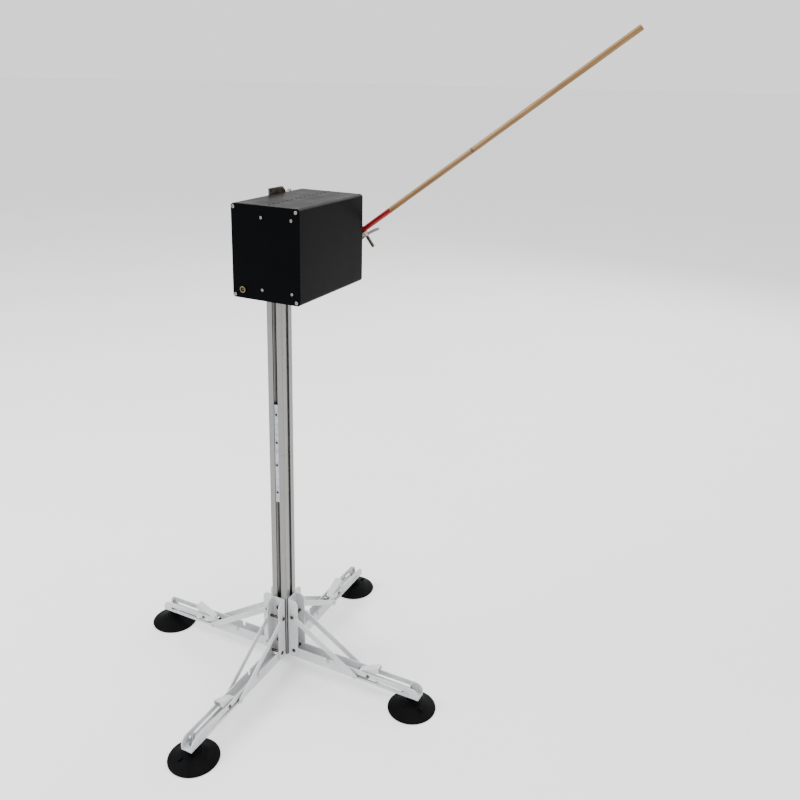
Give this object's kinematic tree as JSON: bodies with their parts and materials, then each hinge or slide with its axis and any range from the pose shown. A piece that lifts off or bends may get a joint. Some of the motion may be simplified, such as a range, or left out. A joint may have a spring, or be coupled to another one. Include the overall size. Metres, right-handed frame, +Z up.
{
  "type": "pitching machine",
  "caption": "Stick-swinging ball pitching machine: a motor housing with a turning wooden stick on a slotted column and folding legs with suction cups.",
  "frame": {"origin": "on the floor, on the axis of the column", "axes": "+Z up; the front panel with the power inlet faces -Y; the stick turns about an axis along Y behind the back panel"},
  "size_m": [0.81, 0.601, 1.131],
  "materials": {
    "column_aluminium": "anodised satin",
    "zinc_steel": "bright zinc plate",
    "dark_steel": "bronzed steel",
    "white_enamel": "white stove enamel",
    "black_coat": "black anodised, fine matt",
    "black_panel": "black satin",
    "screw_steel": "nickel plated",
    "rubber_black": "smooth moulded",
    "stick_wood": "clear varnish over beech, red paint at the butt",
    "bracket_steel": "cold rolled, bright edges",
    "motor_steel": "grey lacquer",
    "gear_alloy": "cast alloy",
    "circuit_green": "solder mask",
    "bush_brass": "turned",
    "inlet_metal": "nickel plated",
    "lead_insulation": "red vinyl",
    "hub_alloy": "machined"
  },
  "bodies": {
    "stand": {"lower_column": "column_aluminium", "upper_column": "column_aluminium", "joint_strips": "zinc_steel", "joint_set_screws": "zinc_steel", "column_top_plate": "zinc_steel", "column_top_bolt": "zinc_steel", "housing_shell": "black_coat", "front_panel": "black_panel", "back_panel": "black_panel", "panel_screws": "screw_steel", "board_standoffs": "bush_brass", "control_board": "circuit_green", "power_inlet": "inlet_metal", "gearbox": "gear_alloy", "gearbox_screws": "screw_steel", "drive_motor": "motor_steel", "shaft_bush": "bush_brass", "inner_leads": "lead_insulation", "side_bracket": "bracket_steel", "bracket_bolts": "screw_steel", "rail_screws": "dark_steel", "rail_pins": "dark_steel", "right_leg_rail": "white_enamel", "rear_leg_rail": "white_enamel", "left_leg_rail": "white_enamel", "front_leg_rail": "white_enamel"},
    "rotor": {"output_shaft": "screw_steel", "stick_hub": "hub_alloy", "hub_grub_screw": "dark_steel", "stick": "stick_wood", "clamp_bolt": "dark_steel"},
    "wing": {"wing_nut": "screw_steel"},
    "right_arm": {"right_leg_arm": "white_enamel", "right_leg_lever_pin": "dark_steel", "right_leg_cup_stud": "zinc_steel", "right_suction_cup": "rubber_black"},
    "right_links": {"right_leg_links": "white_enamel"},
    "right_slide": {"right_leg_slide_pin": "dark_steel"},
    "right_lever": {"right_leg_lever": "white_enamel"},
    "rear_arm": {"rear_leg_arm": "white_enamel", "rear_leg_lever_pin": "dark_steel", "rear_leg_cup_stud": "zinc_steel", "rear_suction_cup": "rubber_black"},
    "rear_links": {"rear_leg_links": "white_enamel"},
    "rear_slide": {"rear_leg_slide_pin": "dark_steel"},
    "rear_lever": {"rear_leg_lever": "white_enamel"},
    "left_arm": {"left_leg_arm": "white_enamel", "left_leg_lever_pin": "dark_steel", "left_leg_cup_stud": "zinc_steel", "left_suction_cup": "rubber_black"},
    "left_links": {"left_leg_links": "white_enamel"},
    "left_slide": {"left_leg_slide_pin": "dark_steel"},
    "left_lever": {"left_leg_lever": "white_enamel"},
    "front_arm": {"front_leg_arm": "white_enamel", "front_leg_lever_pin": "dark_steel", "front_leg_cup_stud": "zinc_steel", "front_suction_cup": "rubber_black"},
    "front_links": {"front_leg_links": "white_enamel"},
    "front_slide": {"front_leg_slide_pin": "dark_steel"},
    "front_lever": {"front_leg_lever": "white_enamel"}
  },
  "joints": [
    {"name": "right_leg_fold", "type": "hinge", "parent": "stand", "child": "right_arm", "pos_m": [0.028, 0, 0.04], "axis": [0, -1, 0], "range_deg": [0, 87.5]},
    {"name": "right_links_swing", "type": "hinge", "parent": "stand", "child": "right_links", "pos_m": [0.0265, 0, 0.11], "axis": [0, -1, 0], "range_deg": [0, 114.18]},
    {"name": "right_pin_slide", "type": "slide", "parent": "right_arm", "child": "right_slide", "axis": [1, 0, 0], "range_m": [0, 0.09252]},
    {"name": "right_lever_press", "type": "hinge", "parent": "right_arm", "child": "right_lever", "pos_m": [0.1786, 0, 0.039], "axis": [0, 1, 0], "range_deg": [0, 12], "stiffness_Nm_per_rad": 0.05, "springref_deg": -8.59},
    {"name": "rear_leg_fold", "type": "hinge", "parent": "stand", "child": "rear_arm", "pos_m": [0, 0.028, 0.04], "axis": [1, 0, 0], "range_deg": [0, 87.5]},
    {"name": "rear_links_swing", "type": "hinge", "parent": "stand", "child": "rear_links", "pos_m": [0, 0.0265, 0.11], "axis": [1, 0, 0], "range_deg": [0, 114.18]},
    {"name": "rear_pin_slide", "type": "slide", "parent": "rear_arm", "child": "rear_slide", "axis": [0, 1, 0], "range_m": [0, 0.09252]},
    {"name": "rear_lever_press", "type": "hinge", "parent": "rear_arm", "child": "rear_lever", "pos_m": [0, 0.1786, 0.039], "axis": [-1, 0, 0], "range_deg": [0, 12], "stiffness_Nm_per_rad": 0.05, "springref_deg": -8.59},
    {"name": "left_leg_fold", "type": "hinge", "parent": "stand", "child": "left_arm", "pos_m": [-0.028, 0, 0.04], "axis": [0, 1, 0], "range_deg": [0, 87.5]},
    {"name": "left_links_swing", "type": "hinge", "parent": "stand", "child": "left_links", "pos_m": [-0.0265, 0, 0.11], "axis": [0, 1, 0], "range_deg": [0, 114.18]},
    {"name": "left_pin_slide", "type": "slide", "parent": "left_arm", "child": "left_slide", "axis": [-1, 0, 0], "range_m": [0, 0.09252]},
    {"name": "left_lever_press", "type": "hinge", "parent": "left_arm", "child": "left_lever", "pos_m": [-0.1786, 0, 0.039], "axis": [0, -1, 0], "range_deg": [0, 12], "stiffness_Nm_per_rad": 0.05, "springref_deg": -8.59},
    {"name": "front_leg_fold", "type": "hinge", "parent": "stand", "child": "front_arm", "pos_m": [0, -0.028, 0.04], "axis": [-1, 0, 0], "range_deg": [0, 87.5]},
    {"name": "front_links_swing", "type": "hinge", "parent": "stand", "child": "front_links", "pos_m": [0, -0.0265, 0.11], "axis": [-1, 0, 0], "range_deg": [0, 114.18]},
    {"name": "front_pin_slide", "type": "slide", "parent": "front_arm", "child": "front_slide", "axis": [0, -1, 0], "range_m": [0, 0.09252]},
    {"name": "front_lever_press", "type": "hinge", "parent": "front_arm", "child": "front_lever", "pos_m": [0, -0.1786, 0.039], "axis": [1, 0, 0], "range_deg": [0, 12], "stiffness_Nm_per_rad": 0.05, "springref_deg": -8.59},
    {"name": "stick_spin", "type": "hinge", "parent": "stand", "child": "rotor", "pos_m": [0, 0.1665, 0.7455], "axis": [0, -1, 0], "continuous": true},
    {"name": "wing_turn", "type": "hinge", "parent": "rotor", "child": "wing", "pos_m": [0.05357, 0.198, 0.7741], "axis": [-0.6018, 0, 0.7986], "continuous": true}
  ],
  "couplings": [
    {"joint": "right_links_swing", "follows": "right_leg_fold", "ratio": 1.3048},
    {"joint": "right_pin_slide", "follows": "right_leg_fold", "m_per_rad": 0.060569},
    {"joint": "rear_links_swing", "follows": "rear_leg_fold", "ratio": 1.3048},
    {"joint": "rear_pin_slide", "follows": "rear_leg_fold", "m_per_rad": 0.060569},
    {"joint": "left_links_swing", "follows": "left_leg_fold", "ratio": 1.3048},
    {"joint": "left_pin_slide", "follows": "left_leg_fold", "m_per_rad": 0.060569},
    {"joint": "front_links_swing", "follows": "front_leg_fold", "ratio": 1.3048},
    {"joint": "front_pin_slide", "follows": "front_leg_fold", "m_per_rad": 0.060569}
  ]
}
